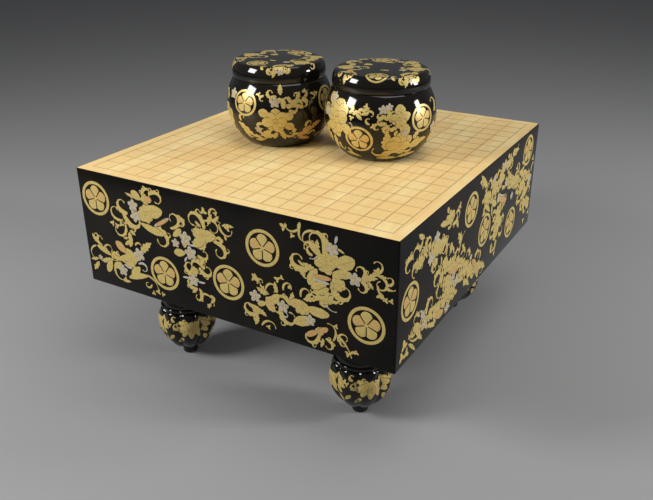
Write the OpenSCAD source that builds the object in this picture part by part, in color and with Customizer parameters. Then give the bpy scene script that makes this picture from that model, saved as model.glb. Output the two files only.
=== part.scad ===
// Go board on four carved legs, with its two lidded bowls of stones standing on it.
// Millimetres. X runs along the width, Y along the length, Z up from the floor.

/* [Playing surface] */
// Number of lines each way
line_count = 19; // [9:2:19]
// Distance between lines across the width
pitch_x = 22; // [20:0.1:24]
// Distance between lines along the length
pitch_y = 23.7; // [21:0.1:26]
// Bare wood outside the outermost lines
edge_margin = 14; // [12:0.5:24]
// Width of a lacquer line
line_w = 1; // [0.6:0.1:1.6]
// Height of the lines and dots above the wood
line_h = 0.2; // [0.1:0.05:0.4]
// Diameter of a star point
star_d = 4; // [3:0.5:6]

/* [Block] */
// Thickness of the board with its lacquer
board_t = 149; // [110:1:180]
// Thickness of the lacquer coat
coat_t = 0.8; // [0.4:0.1:1.6]
// Radius of the upright corners
corner_r = 2; // [1.8:0.2:6]
// Side of the square hollow in the underside
navel_w = 106; // [70:1:130]
// Depth of the hollow
navel_depth = 32; // [20:1:45]
// Height of the low pyramid on its floor
navel_peak = 10; // [4:1:16]

/* [Legs] */
// Height of the legs
leg_h = 125; // [118:1:140]
// Distance of a leg's axis from both sides
leg_inset = 80.5; // [60:0.5:90]
// Number of lobes round a leg
leg_lobes = 8; // [6:1:10]
// Widest radius of a leg
belly_r = 38; // [35:0.5:41]
// Height of the widest place above the floor
belly_z = 54; // [50:1:58]
// Radius of the belly's curve below its widest place
belly_low_curve = 50; // [46:1:56]
// Radius of the belly's curve above its widest place
belly_high_curve = 36; // [32:1:40]
// Depth of the valleys between the lobes
lobe_depth = 3.6; // [2:0.2:5]
// Height of the underside of the belly above the floor
under_z = 17.5; // [15:0.5:21]
// Radius of the rounding under the belly
under_round = 4.5; // [1.5:0.5:6]
// Radius of the peg foot
foot_r = 10; // [8:0.5:12]
// Radius of the foot's rounding
foot_round = 3; // [2:0.2:4]
// Height of the shoulder ridge above the widest place
shoulder_rise = 21.5; // [19:0.5:24]
// Radius of the ridge round the shoulder
shoulder_r = 33.5; // [30:0.5:35]
// Radius of the ridge's rounding
shoulder_round = 3; // [2:0.2:4]
// Radius of the neck
neck_r = 23; // [20:0.5:26]
// Radius of the pad under the board
pad_r = 28; // [25.5:0.5:31]
// Height of the pad
pad_h = 6; // [4:0.5:8]
// Side of the square tenon
tenon_w = 34; // [24:1:35]
// Length of the tenon
tenon_l = 38; // [25:1:60]
// Gap between a tenon and its mortise
tenon_gap = 0.2; // [0.1:0.05:0.4]

/* [Bowls] */
// Widest radius of a bowl
bowl_r = 68; // [65:0.5:72]
// Height of the widest place above the base
bowl_belly_z = 50; // [46:1:54]
// Radius of the curve of the side
bowl_curve = 63; // [58:1:68]
// Height of the rim where the lid sits
rim_z = 84; // [80:1:90]
// Thickness of the wall and the floor
bowl_wall = 7; // [5:0.5:8]
// Height of the lip inside the lid
lip_h = 6; // [4:0.5:8]
// Thickness of the lip
lip_t = 4.5; // [3:0.5:5]
// Gap between the lip and the lid
lip_gap = 0.3; // [0.2:0.05:0.5]
// Height of a lid
lid_h = 20; // [18:0.5:24]
// Radius of the flat top of a lid
lid_top_r = 50; // [46:0.5:52]
// How far the lid's side swells past the rim
lid_swell = 1.2; // [0.6:0.1:2]
// Rise of the middle of the lid's top
lid_dome = 1; // [0.5:0.1:2]
// Thickness of the lid's top
lid_wall = 6; // [4:0.5:7]
// Shift of the pair of bowls across the board
pair_x = 3; // [-10:0.5:10]
// Shift of the pair of bowls along the board
pair_y = 1; // [-10:0.5:10]
// Turn of the pair of bowls in degrees
pair_turn = 5.6; // [-10:0.2:10]
// Gap between the two bowls
pair_gap = 3; // [1:0.5:10]
// Gap under a bowl and under a lid
seat_gap = 0.1; // [0.05:0.05:0.3]

/* [Stones] */
// Diameter of a stone
stone_d = 22; // [20:0.2:23]
// Thickness of a stone
stone_t = 7; // [6:0.2:8]
// Least gap between stones
stone_gap = 0.3; // [0.2:0.05:0.5]
// Number of black stones
black_count = 181; // [20:1:181]
// Number of white stones
white_count = 180; // [20:1:181]

/* [Hidden] */
$fn = 96;

span_x = (line_count - 1) * pitch_x;
span_y = (line_count - 1) * pitch_y;
board_w = span_x + 2 * edge_margin;
board_l = span_y + 2 * edge_margin;
top_z = leg_h + board_t;
leg_x = board_w / 2 - leg_inset;
leg_y = board_l / 2 - leg_inset;
mortise_w = tenon_w + 2 * tenon_gap;
mortise_l = tenon_l + tenon_gap;
cut = 1;
arc_steps = 12;
lacquer = "#17130f";
wood = "#e3b979";

// Star points lie on the fourth line from each edge and on the middle lines
star_line = line_count > 12 ? 3 : 2;
star_lines = [star_line, (line_count - 1) / 2, line_count - 1 - star_line];
function line_x(i) = i * pitch_x - span_x / 2;
function line_y(i) = i * pitch_y - span_y / 2;

// Points along an arc about [x, z] from one angle to another
function arc(x, z, r, from, to) =
    [for (i = [0 : arc_steps]) let (a = from + (to - from) * i / arc_steps) [x + r * cos(a), z + r * sin(a)]];

// Points of an S-shaped blend from [r0, z0] to [r1, z1], upright at both ends
function blend(r0, z0, r1, z1) =
    [for (i = [0 : arc_steps]) let (t = i / arc_steps) [r0 + (r1 - r0) * (1 - cos(180 * t)) / 2, z0 + (z1 - z0) * t]];

// Rectangle with rounded corners
module rounded_plan(w, l, r) {
    square([w - 2 * r, l], center = true);
    square([w, l - 2 * r], center = true);
    for (sx = [-1, 1], sy = [-1, 1])
        translate([sx * (w / 2 - r), sy * (l / 2 - r)]) circle(r);
}

// Square holes that take the tenons
module mortises(z, h) {
    for (sx = [-1, 1], sy = [-1, 1])
        translate([sx * leg_x, sy * leg_y, z + h / 2]) cube([mortise_w, mortise_w, h], center = true);
}

// Four-sided pyramid standing on z = 0
module pyramid(w, h) {
    c = w / 2;
    polyhedron([[-c, -c, 0], [c, -c, 0], [c, c, 0], [-c, c, 0], [0, 0, h]],
               [[0, 1, 2, 3], [1, 0, 4], [2, 1, 4], [3, 2, 4], [0, 3, 4]]);
}

// The hollow cut in the underside, with a low pyramid left hanging from its roof
module navel() {
    difference() {
        translate([-navel_w / 2, -navel_w / 2, leg_h - cut]) cube([navel_w, navel_w, navel_depth + cut]);
        translate([0, 0, leg_h + navel_depth]) mirror([0, 0, 1]) pyramid(navel_w, navel_peak);
    }
}

module board_block() {
    color(wood) difference() {
        translate([0, 0, leg_h + coat_t]) linear_extrude(board_t - coat_t)
            rounded_plan(board_w - 2 * coat_t, board_l - 2 * coat_t, corner_r - coat_t);
        mortises(leg_h, mortise_l);
        navel();
    }
}

module lacquer_coat() {
    color(lacquer) difference() {
        translate([0, 0, leg_h]) linear_extrude(board_t) rounded_plan(board_w, board_l, corner_r);
        translate([0, 0, leg_h + coat_t]) linear_extrude(board_t)
            rounded_plan(board_w - 2 * coat_t, board_l - 2 * coat_t, corner_r - coat_t);
        mortises(leg_h - cut, 2 * cut + coat_t);
        translate([-navel_w / 2, -navel_w / 2, leg_h - cut]) cube([navel_w, navel_w, 2 * cut + coat_t]);
    }
}

module star_plan() {
    for (i = star_lines, j = star_lines)
        translate([line_x(i), line_y(j)]) circle(d = star_d);
}

module grid_lines() {
    color("#3a2616") translate([0, 0, top_z]) linear_extrude(line_h) difference() {
        union() {
            for (i = [0 : line_count - 1]) {
                translate([line_x(i), 0]) square([line_w, span_y + line_w], center = true);
                translate([0, line_y(i)]) square([span_x + line_w, line_w], center = true);
            }
        }
        star_plan();
    }
}

module star_points() {
    color("#2a1b10") translate([0, 0, top_z]) linear_extrude(line_h) star_plan();
}

// Outline of a leg from the foot up: peg foot, underside, belly, shoulder ridge, neck and pad
under_angle = asin((under_z + under_round - belly_z) / (belly_low_curve - under_round));
under_r = belly_r - belly_low_curve + (belly_low_curve - under_round) * cos(under_angle);
shoulder_z = belly_z + shoulder_rise;
shoulder_axis = shoulder_r - shoulder_round;
shoulder_angle = asin((shoulder_rise - shoulder_round) / belly_high_curve);
neck_z = (shoulder_z + leg_h - pad_h) / 2;
leg_outline = concat(
    [[0, 0]],
    arc(foot_r - foot_round, foot_round, foot_round, -90, 0),
    [[foot_r, under_z]],
    arc(under_r, under_z + under_round, under_round, -90, under_angle),
    arc(belly_r - belly_low_curve, belly_z, belly_low_curve, under_angle, 0),
    arc(belly_r - belly_high_curve, belly_z, belly_high_curve, 0, shoulder_angle),
    arc(shoulder_axis, shoulder_z, shoulder_round, -60, 60),
    blend(shoulder_axis, shoulder_z + shoulder_round, neck_r, neck_z),
    blend(neck_r, neck_z + 1, pad_r, leg_h - pad_h),
    [[pad_r, leg_h], [0, leg_h]]);

// Plan of the lobes: circles whose crests stand just outside the belly
lobe_crest = belly_r + 0.5;
lobe_r = lobe_crest * sin(180 / leg_lobes) + lobe_depth;
module lobe_plan() {
    circle(lobe_crest - lobe_r);
    for (i = [0 : leg_lobes - 1])
        rotate(i * 360 / leg_lobes) translate([lobe_crest - lobe_r, 0]) circle(lobe_r);
}

module leg(sx, sy) {
    color(lacquer) translate([sx * leg_x, sy * leg_y, 0]) {
        intersection() {
            rotate_extrude() polygon(leg_outline);
            translate([0, 0, -cut]) linear_extrude(leg_h + 2 * cut) lobe_plan();
        }
        translate([0, 0, leg_h + tenon_l / 2 - cut / 2]) cube([tenon_w, tenon_w, tenon_l + cut], center = true);
    }
}
module leg_front_left() { leg(-1, -1); }
module leg_front_right() { leg(1, -1); }
module leg_back_left() { leg(-1, 1); }
module leg_back_right() { leg(1, 1); }

// Places of the two bowls: side by side along a line turned a little from the board's width
bowl_step = bowl_r + pair_gap / 2;
bowl_z = top_z + line_h + seat_gap;
module at_bowl(side) {
    translate([pair_x + side * bowl_step * cos(pair_turn), pair_y + side * bowl_step * sin(pair_turn), bowl_z])
        children();
}

// Angles at which the curve of a bowl's side meets a level
bowl_axis = bowl_r - bowl_curve;
bowl_in = bowl_curve - bowl_wall;
function side_angle(z, r) = asin((z - bowl_belly_z) / r);
function side_r(z, r) = bowl_axis + r * cos(side_angle(z, r));
rim_r = side_r(rim_z, bowl_curve);
lip_r = rim_r - bowl_wall + lip_t / 2;
mouth_r = lip_r - lip_t;
mouth_z = bowl_belly_z + sqrt(pow(bowl_in, 2) - pow(mouth_r - bowl_axis, 2));

bowl_outline = concat(
    [[0, 0]],
    arc(bowl_axis, bowl_belly_z, bowl_curve, side_angle(0, bowl_curve), side_angle(rim_z, bowl_curve)),
    [[lip_r, rim_z], [lip_r, rim_z + lip_h], [mouth_r, rim_z + lip_h]],
    arc(bowl_axis, bowl_belly_z, bowl_in, side_angle(mouth_z, bowl_in), side_angle(bowl_wall, bowl_in)),
    [[0, bowl_wall]]);

module bowl(side) {
    color(lacquer) at_bowl(side) rotate_extrude() polygon(bowl_outline);
}
module left_bowl() { bowl(-1); }
module right_bowl() { bowl(1); }

// Outline of a lid: swelling side, rounded edge, low dome, and a socket for the lip
lid_z = rim_z + seat_gap;
lid_side_r = rim_r + lid_swell;
lid_edge = lid_side_r - lid_top_r;
lid_edge_z = lid_z + lid_h - lid_edge - lid_dome;
socket_r = lip_r + lip_gap;
socket_z = rim_z + lip_h + lip_gap;
hollow_z = lid_z + lid_h - lid_wall;
dome_r = (pow(lid_top_r, 2) + pow(lid_dome, 2)) / (2 * lid_dome);
dome_span = asin(lid_top_r / dome_r);
lid_outline = concat(
    [[mouth_r, hollow_z], [mouth_r, socket_z], [socket_r, socket_z], [socket_r, lid_z], [rim_r, lid_z]],
    blend(rim_r, lid_z, lid_side_r, lid_edge_z),
    arc(lid_top_r, lid_edge_z, lid_edge, 0, 90),
    arc(0, lid_z + lid_h - dome_r, dome_r, 90 - dome_span, 90),
    [[0, hollow_z]]);

module lid(side) {
    color(lacquer) at_bowl(side) rotate_extrude() polygon(lid_outline);
}
module left_lid() { lid(-1); }
module right_lid() { lid(1); }

// A stone is the lens where two balls cross
lens_r = (pow(stone_d / 2, 2) + pow(stone_t / 2, 2)) / stone_t;
module stone() {
    intersection() {
        translate([0, 0, stone_t / 2 - lens_r]) sphere(lens_r);
        translate([0, 0, lens_r - stone_t / 2]) sphere(lens_r);
    }
}

// Stones lie flat in close-packed layers; each layer sits in the hollows of the one below
stone_pitch = stone_d + stone_gap;
hollow_step = stone_pitch / sqrt(3);
layer_rise = sqrt(pow(2 * lens_r, 2) - pow(hollow_step, 2)) - 2 * lens_r + stone_t + stone_gap;
first_layer = bowl_wall + stone_gap + stone_t / 2;
layer_count = floor((rim_z - first_layer - stone_t) / layer_rise);
row_reach = ceil(2 * bowl_r / stone_pitch);
function fits(p, z) = norm(p) + stone_d / 2 + stone_gap < min(side_r(z, bowl_in), z > mouth_z ? mouth_r : bowl_r);
stone_places = [
    for (k = [0 : layer_count])
        let (z = first_layer + k * layer_rise, shift = k % 2 == 0 ? 0 : hollow_step)
        for (j = [-row_reach : row_reach], i = [-row_reach : row_reach])
            let (p = [(i + j / 2) * stone_pitch, j * stone_pitch * sqrt(3) / 2 + shift])
            if (fits(p, z)) [p[0], p[1], z]];

module stones(side, count) {
    at_bowl(side)
        for (i = [0 : min(count, len(stone_places)) - 1])
            translate(stone_places[i]) stone();
}
module black_stones() { color("#1b1b1d") stones(-1, black_count); }
module white_stones() { color("#efece2") stones(1, white_count); }

board_block();
lacquer_coat();
grid_lines();
star_points();
leg_front_left();
leg_front_right();
leg_back_left();
leg_back_right();
left_bowl();
left_lid();
black_stones();
right_bowl();
right_lid();
white_stones();
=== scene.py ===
import bpy
import numpy as np
from mathutils import Matrix, Vector


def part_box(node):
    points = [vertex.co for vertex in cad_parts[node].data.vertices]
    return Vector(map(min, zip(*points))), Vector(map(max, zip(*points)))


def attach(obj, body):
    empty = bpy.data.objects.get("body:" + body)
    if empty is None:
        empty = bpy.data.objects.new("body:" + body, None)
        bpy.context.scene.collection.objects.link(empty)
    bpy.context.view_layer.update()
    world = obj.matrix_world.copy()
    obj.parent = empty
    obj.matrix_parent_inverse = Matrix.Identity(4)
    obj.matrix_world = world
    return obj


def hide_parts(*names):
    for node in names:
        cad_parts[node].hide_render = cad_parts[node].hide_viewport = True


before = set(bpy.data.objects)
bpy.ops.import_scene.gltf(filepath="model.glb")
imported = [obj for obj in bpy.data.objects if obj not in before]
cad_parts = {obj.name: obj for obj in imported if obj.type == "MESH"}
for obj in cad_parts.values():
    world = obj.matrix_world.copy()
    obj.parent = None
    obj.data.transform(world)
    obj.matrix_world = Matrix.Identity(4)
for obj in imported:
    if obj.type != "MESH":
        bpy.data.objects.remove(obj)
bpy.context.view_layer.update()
mm = 0.001
print("frame loaded:", len(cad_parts), "nodes")

# places taken from the solids, in mm
coatLow, coatHigh = (np.array(corner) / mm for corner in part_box("lacquer_coat"))
boardWidth, boardLength = (coatHigh - coatLow)[:2]
boardBottom, boardTop = coatLow[2], coatHigh[2]


# the middle of a solid's lower end, in metres
def footOf(node):
    low, high = (np.array(corner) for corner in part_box(node))
    return np.array([*(low + high)[:2] / 2, low[2]])


def linkObject(name, data):
    thing = bpy.data.objects.new(name, data)
    bpy.context.scene.collection.objects.link(thing)
    return thing


# a place, turned so that its own -Z points at an aim
def aimedAt(place, aim):
    turn = (Vector(aim) - Vector(place)).to_track_quat("-Z", "Y").to_matrix().to_4x4()
    return Matrix.Translation(Vector(place)) @ turn


# Camera: an eye point, a point it looks at, a small roll and a lens
viewpoint = {
    "eye": (0.4776, -0.8176, 0.5719),
    "aim": (0.0215, -0.0381, 0.1426),
    "rollDegrees": -0.25,
    "lensMm": 41.94,
    "sensorMm": 36.0,
    "clipStart": 0.02,
}


def setCamera():
    lens = bpy.data.cameras.new("viewCamera")
    lens.lens = viewpoint["lensMm"]
    lens.sensor_width = viewpoint["sensorMm"]
    lens.clip_start = viewpoint["clipStart"]
    camera = linkObject("viewCamera", lens)
    roll = Matrix.Rotation(np.radians(viewpoint["rollDegrees"]), 4, "Z")
    camera.matrix_world = aimedAt(viewpoint["eye"], viewpoint["aim"]) @ roll
    bpy.context.scene.camera = camera


setCamera()
print("camera set")


# Material helpers: a node's inputs are given by name or number, as values or as outputs of other nodes
def feed(tree, node, inputs):
    for key, value in inputs.items():
        if hasattr(value, "is_output"):
            tree.links.new(value, node.inputs[key])
        else:
            node.inputs[key].default_value = value


def addNode(tree, kind, inputs, **settings):
    node = tree.nodes.new(kind)
    for key, value in settings.items():
        setattr(node, key, value)
    feed(tree, node, inputs)
    return node


def markOf(tree, name):
    return addNode(tree, "ShaderNodeAttribute", {}, attribute_name=name).outputs["Fac"]


# noise over the object's own place, stretched along x, y and z, or along one mark of the mesh
def noiseOn(tree, stretch, scale, detail, rough):
    inputs = {"Scale": scale, "Detail": detail, "Roughness": rough}
    if isinstance(stretch, str):
        inputs["W"] = markOf(tree, stretch)
        return addNode(tree, "ShaderNodeTexNoise", inputs, noise_dimensions="1D").outputs["Fac"]
    place = addNode(tree, "ShaderNodeTexCoord", {}).outputs["Object"]
    mapping = addNode(tree, "ShaderNodeMapping", {"Vector": place, "Scale": stretch})
    inputs["Vector"] = mapping.outputs["Vector"]
    return addNode(tree, "ShaderNodeTexNoise", inputs).outputs["Fac"]


# A finish is a ground colour and layers of other colours over it. A noise is its stretch, scale, detail
# and roughness. A layer is a colour, the noise or mark that lays it, the span of values taken from that and
# the span of shares that they are spread over. Other inputs are spread in the same way or are plain values.
# A bump is its noise, its strength and its height in metres
def makeFinish(name, tone, **changes):
    tone = {"noises": {}, "layers": [], "spreads": {}, "plain": {}, **tone, **changes}
    finish = bpy.data.materials.new(name)
    finish.use_nodes = True
    tree = finish.node_tree
    shader = tree.nodes["Principled BSDF"]
    noises = {label: noiseOn(tree, *noise) for label, noise in tone["noises"].items()}

    def spread(source, low, high, outLow, outHigh):
        value = noises[source] if source in noises else markOf(tree, source)
        inputs = {"Value": value, "From Min": low, "From Max": high, "To Min": outLow, "To Max": outHigh}
        return addNode(tree, "ShaderNodeMapRange", inputs).outputs["Result"]

    colour = tone["ground"]
    for over, *rule in tone["layers"]:
        inputs = {0: spread(*rule), 6: colour, 7: tone[over]}
        colour = addNode(tree, "ShaderNodeMix", inputs, data_type="RGBA").outputs[2]
    spreads = {socket: spread(*rule) for socket, rule in tone["spreads"].items()}
    feed(tree, shader, {"Base Color": colour, **spreads, **tone["plain"]})
    if "bump" in tone:
        source, strength, distance = tone["bump"]
        inputs = {"Height": noises[source], "Strength": strength, "Distance": distance}
        feed(tree, shader, {"Normal": addNode(tree, "ShaderNodeBump", inputs).outputs["Normal"]})
    return finish


# Bare wood: straight grain along the length, broad warm and pale bands, cream patches, fine pores
woodTone = {
    "ground": (0.85, 0.63, 0.28, 1), "warm": (0.79, 0.53, 0.21, 1),
    "cream": (0.86, 0.69, 0.335, 1), "grain": (0.66, 0.38, 0.13, 1),
    "noises": {
        "bands": ((9.0, 0.7, 9.0), 1.6, 3.0, 0.5), "patches": ((34.0, 12.0, 34.0), 1.0, 3.0, 0.6),
        "rings": ((420.0, 5.0, 420.0), 1.0, 2.0, 0.5), "pores": ((2600.0, 60.0, 2600.0), 1.0, 1.0, 0.5),
    },
    "layers": [
        ("warm", "bands", 0.35, 0.68, 0, 1), ("cream", "patches", 0.46, 0.62, 0, 0.8),
        ("grain", "rings", 0.50, 0.72, 0, 0.38), ("grain", "pores", 0.58, 0.75, 0, 0.22),
    ],
    "spreads": {"Roughness": ("bands", 0.3, 0.7, 0.42, 0.54)},
    "bump": ("pores", 0.08, 0.0002),
}

# Black lacquer: deep brown-black under a clear polished skin with a faint ripple; the skin of the board's
# sides is rubbed thin and mirrors less than that of the turned pieces
lacquerTone = {
    "ground": (0.004, 0.004, 0.0035, 1), "brown": (0.011, 0.008, 0.005, 1),
    "noises": {
        "clouds": ((1, 1, 1), 14.0, 3.0, 0.5), "smears": ((1, 1, 2.5), 60.0, 4.0, 0.6),
        "ripple": ((1, 1, 1), 38.0, 2.0, 0.5),
    },
    "layers": [("brown", "clouds", 0.35, 0.7, 0, 1)],
    "spreads": {"Roughness": ("smears", 0.3, 0.75, 0.05, 0.11)},
    "bump": ("ripple", 0.05, 0.0008),
    "sideIor": 1.22, "turnedIor": 1.45,
}

# Sprinkled metal powder: fine speckle over the metal, a darker lacquer rim, red gold where marked
powderTone = {
    "rim": (0.006, 0.005, 0.004, 1), "gap": (0.24, 0.15, 0.045, 1),
    "noises": {
        "dust": ((1, 1, 1), 1500.0, 2.0, 0.7), "grains": ((1, 1, 1), 620.0, 1.0, 0.5),
        "wear": ((1, 1, 1), 110.0, 3.0, 0.5),
    },
    "layers": [
        ("warm", "tone", 0, 1, 0, 1),
        ("gap", "dust", 0.48, 0.70, 0, 0.5), ("gap", "grains", 0.52, 0.70, 0, 0.4),
        ("gap", "wear", 0.55, 0.8, 0, 0.3),
        ("rim", "vein", 0.92, 0.985, 0, 0.35), ("rim", "rim", 0.45, 0.6, 0, 1),
    ],
    "spreads": {"Metallic": ("rim", 0.45, 0.6, 0.3, 0), "Roughness": ("dust", 0.3, 0.7, 0.34, 0.48)},
    "bump": ("dust", 0.25, 0.0001),
}
metals = {
    "gold": {"ground": (0.67, 0.51, 0.16, 1), "warm": (0.68, 0.40, 0.14, 1)},
    "silver": {"ground": (0.57, 0.53, 0.44, 1), "warm": (0.60, 0.50, 0.35, 1)},
}

# Lines of the playing surface: brown lacquer, thinned by wear in patches
lineTone = {
    "ground": (0.42, 0.26, 0.11, 1), "worn": (0.61, 0.42, 0.19, 1),
    "noises": {"patches": ((1, 1, 1), 90.0, 3.0, 0.5)},
    "layers": [("worn", "patches", 0.3, 0.75, 0, 1)],
    "spreads": {"Roughness": ("patches", 0.3, 0.7, 0.28, 0.42)},
}

# Stones: oiled slate, and shell with its faint parallel growth lines; each stone has a shade of its own
slateTone = {
    "ground": (0.010, 0.010, 0.012, 1), "speck": (0.035, 0.036, 0.040, 1), "grey": (0.028, 0.028, 0.030, 1),
    "noises": {"specks": ((1, 1, 1), 700.0, 3.0, 0.5)},
    "layers": [("speck", "specks", 0.4, 0.75, 0, 1), ("grey", "shade", 0, 1, 0, 0.6)],
    "spreads": {"Roughness": ("specks", 0.3, 0.7, 0.34, 0.5)},
    "bump": ("specks", 0.1, 0.0001),
}
shellTone = {
    "ground": (0.84, 0.81, 0.73, 1), "line": (0.68, 0.63, 0.52, 1), "warm": (0.80, 0.73, 0.60, 1),
    "noises": {"lines": ("grain", 0.9, 2.0, 0.5)},
    "layers": [("line", "lines", 0.45, 0.68, 0, 0.8), ("warm", "shade", 0, 1, 0, 0.5)],
    "plain": {"Roughness": 0.22, "Subsurface Weight": 0.08, "Subsurface Radius": (0.004, 0.003, 0.002)},
}

# Studio: grey floor, soft sky and a few soft boxes
studio = {
    "floorReach": 9.0,
    "floor": {"ground": (0.27, 0.27, 0.272, 1), "plain": {"Roughness": 0.85, "Specular IOR Level": 0.1}},
    "sky": {"Color": (0.80, 0.82, 0.85, 1), "Strength": 0.16},
    "boxes": {
        # name: place, point it faces, width and height, watts
        "leftBox": ((-0.95, -1.14, 0.95), (0.0, 0.0, 0.30), (0.52, 0.52), 25.5),
        "rightBox": ((1.64, 0.60, 0.66), (0.0, 0.0, 0.26), (0.30, 0.62), 24.0),
        "topBox": ((0.62, -0.22, 2.05), (0.08, 0.02, 0.25), (1.40, 1.40), 18.0),
    },
}


def buildStudio():
    reach = studio["floorReach"]
    corners = [(-reach, -reach, 0), (reach, -reach, 0), (reach, reach, 0), (-reach, reach, 0)]
    mesh = bpy.data.meshes.new("floor")
    mesh.from_pydata(corners, [], [(0, 1, 2, 3)])
    mesh.materials.append(makeFinish("greyFloor", studio["floor"]))
    floor = linkObject("floor", mesh)
    world = bpy.data.worlds.new("softSky")
    bpy.context.scene.world = world
    world.use_nodes = True
    feed(world.node_tree, world.node_tree.nodes["Background"], studio["sky"])
    for name, (place, facing, size, watts) in studio["boxes"].items():
        lamp = bpy.data.lights.new(name, "AREA")
        lamp.shape = "RECTANGLE"
        lamp.size, lamp.size_y = size
        lamp.energy = watts
        linkObject(name, lamp).matrix_world = aimedAt(place, facing)
    bpy.context.scene.view_settings.view_transform = "Standard"


buildStudio()
woodFinish = makeFinish("bareWood", woodTone)
sideFinish = makeFinish("sideLacquer", lacquerTone, plain={"IOR": lacquerTone["sideIor"]})
lacquerFinish = makeFinish("turnedLacquer", lacquerTone, plain={"IOR": lacquerTone["turnedIor"]})
powderFinishes = {metal: makeFinish(metal + "Powder", powderTone, **metals[metal]) for metal in metals}
lineFinish = makeFinish("lineLacquer", lineTone)
slateFinish, shellFinish = makeFinish("oiledSlate", slateTone), makeFinish("polishedShell", shellTone)
print("studio and finishes ready")


# Mesh helpers: a sleeve is a row of closed rings, its ends closed by flat caps or joined in a loop
def sleeveFaces(rows, count, start=0, loop=False):
    i = np.arange(rows if loop else rows - 1)[:, None]
    j = np.arange(count)[None, :]
    nextRow, nextPoint = (i + 1) % rows, (j + 1) % count
    corners = [i * count + j, i * count + nextPoint, nextRow * count + nextPoint, nextRow * count + j]
    faces = (np.stack(corners, axis=-1).reshape(-1, 4) + start).tolist()
    if not loop:
        faces.append((np.arange(count)[::-1] + start).tolist())
        faces.append((np.arange(count) + (rows - 1) * count + start).tolist())
    return faces


def addPiece(name, points, faces, finish, body, slotName, marks=None, sharpDegrees=40):
    mesh = bpy.data.meshes.new(name)
    mesh.from_pydata(points.reshape(-1, 3).tolist(), [], faces)
    mesh.polygons.foreach_set("use_smooth", np.ones(len(faces), dtype=bool))
    mesh.set_sharp_from_angle(angle=np.radians(sharpDegrees))
    for label, values in (marks or {}).items():
        mesh.attributes.new(label, "FLOAT", "POINT").data.foreach_set("value", values.astype(np.float32))
    mesh.materials.append(finish)
    mesh.update()
    piece = linkObject(name, mesh)
    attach(piece, body)
    return piece


def finishNode(node, finish):
    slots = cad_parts[node].data.materials
    slots.clear()
    slots.append(finish)


# points along a circle's arc, as [radius, height] rows
def arcPoints(x, z, radius, fromDegrees, toDegrees, steps):
    turn = np.radians(np.linspace(fromDegrees, toDegrees, steps))
    return np.stack([x + radius * np.cos(turn), z + radius * np.sin(turn)], axis=1)


# points at a radius and a turn about an upright axis, and at a height over its foot: mm in, metres out
def aroundAxis(foot, radius, turn, height):
    x = foot[0] + radius * np.cos(turn) * mm
    y = foot[1] + radius * np.sin(turn) * mm
    z = foot[2] + height * mm + 0 * turn
    return np.stack([x, y, z], axis=-1)


# a profile of [radius, height] rows, turned about an upright axis
def turnedGrid(profile, foot, steps):
    turn = np.linspace(0, 2 * np.pi, steps, endpoint=False)
    return aroundAxis(foot, profile[:, :1], turn, profile[:, 1:])


# Board: bare block, raised lines and dots keep their solids; the coat gets softened edges
coatShape = {
    "thick": 0.8,
    "corner": 2.0, "leastCorner": 0.4, "cornerSteps": 9,
    "topRound": 0.35, "bottomRound": 1.0, "edgeDegrees": (0, 30, 60, 90),
    "navelHalf": 53.0, "navelCorner": 0.5,
}


# four quarter circles, joined by straight sides, counter-clockwise
def roundedLoop(halfX, halfY, corner, height):
    quarter = np.linspace(0, np.pi / 2, coatShape["cornerSteps"])
    turns = quarter[None, :] + np.arange(4)[:, None] * np.pi / 2
    signX, signY = np.array([[1], [-1], [-1], [1]]), np.array([[1], [1], [-1], [-1]])
    x = signX * (halfX - corner) + corner * np.cos(turns)
    y = signY * (halfY - corner) + corner * np.sin(turns)
    return np.stack([x.ravel(), y.ravel(), np.full(x.size, height)], axis=1)


def buildCoat():
    s = coatShape
    turns = np.radians(s["edgeDegrees"])
    floorTop = boardBottom + s["thick"]

    def level(inset, height):
        corner = max(s["corner"] - inset, s["leastCorner"])
        return roundedLoop(boardWidth / 2 - inset, boardLength / 2 - inset, corner, height)

    def edge(radius, height, turns):
        return [level(radius * (1 - np.cos(t)), height + radius * np.sin(t)) for t in turns]

    def navel(height):
        return roundedLoop(s["navelHalf"], s["navelHalf"], s["navelCorner"], height)

    lower = edge(s["bottomRound"], boardBottom + s["bottomRound"], -turns[::-1])
    upper = edge(s["topRound"], boardTop - s["topRound"], turns)
    inside = [level(s["thick"], boardTop), level(s["thick"], floorTop)]
    grid = np.stack([navel(boardBottom), *lower, *upper, *inside, navel(floorTop)])
    faces = sleeveFaces(len(grid), grid.shape[1], loop=True)
    piece = addPiece("lacquerCoat", grid * mm, faces, sideFinish, "board", "black_lacquer")
    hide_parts("lacquer_coat")


buildCoat()
finishNode("board_block", woodFinish)
finishNode("grid_lines", lineFinish)
finishNode("star_points", lineFinish)
print("board dressed")

# Legs: a turned outline whose radius dips between lobes and whose shoulder ridge waves with them
legShape = {
    "footRadius": 10.0, "footRound": 3.0, "instep": 2.5,
    "underHeight": 17.5, "underRound": 4.5,
    "belly": 38.0, "bellyHeight": 54.0, "lowCurve": 50.0, "highCurve": 36.0,
    "shoulderRise": 21.5, "shoulder": 33.5, "shoulderRound": 3.0, "ridgeDegrees": (-55, 75),
    "grooveOut": 0.8, "grooveRise": 0.3, "grooveDrop": 1.0,
    "neck": 23.0, "neckStep": 1.0, "pad": 28.0, "padHeight": 6.0, "padRound": 1.0,
    "tenonHalf": 17.0, "tenonLength": 38.0,
    "lobes": 8, "lobePower": 0.75, "valley": 3.6, "valleyFade": 9.0, "valleyTop": 5.0,
    "wave": 2.6, "waveReach": 9.0, "waveDrop": 1.0,
    "around": 160,
}
ridgeHeight = legShape["bellyHeight"] + legShape["shoulderRise"]


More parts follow.
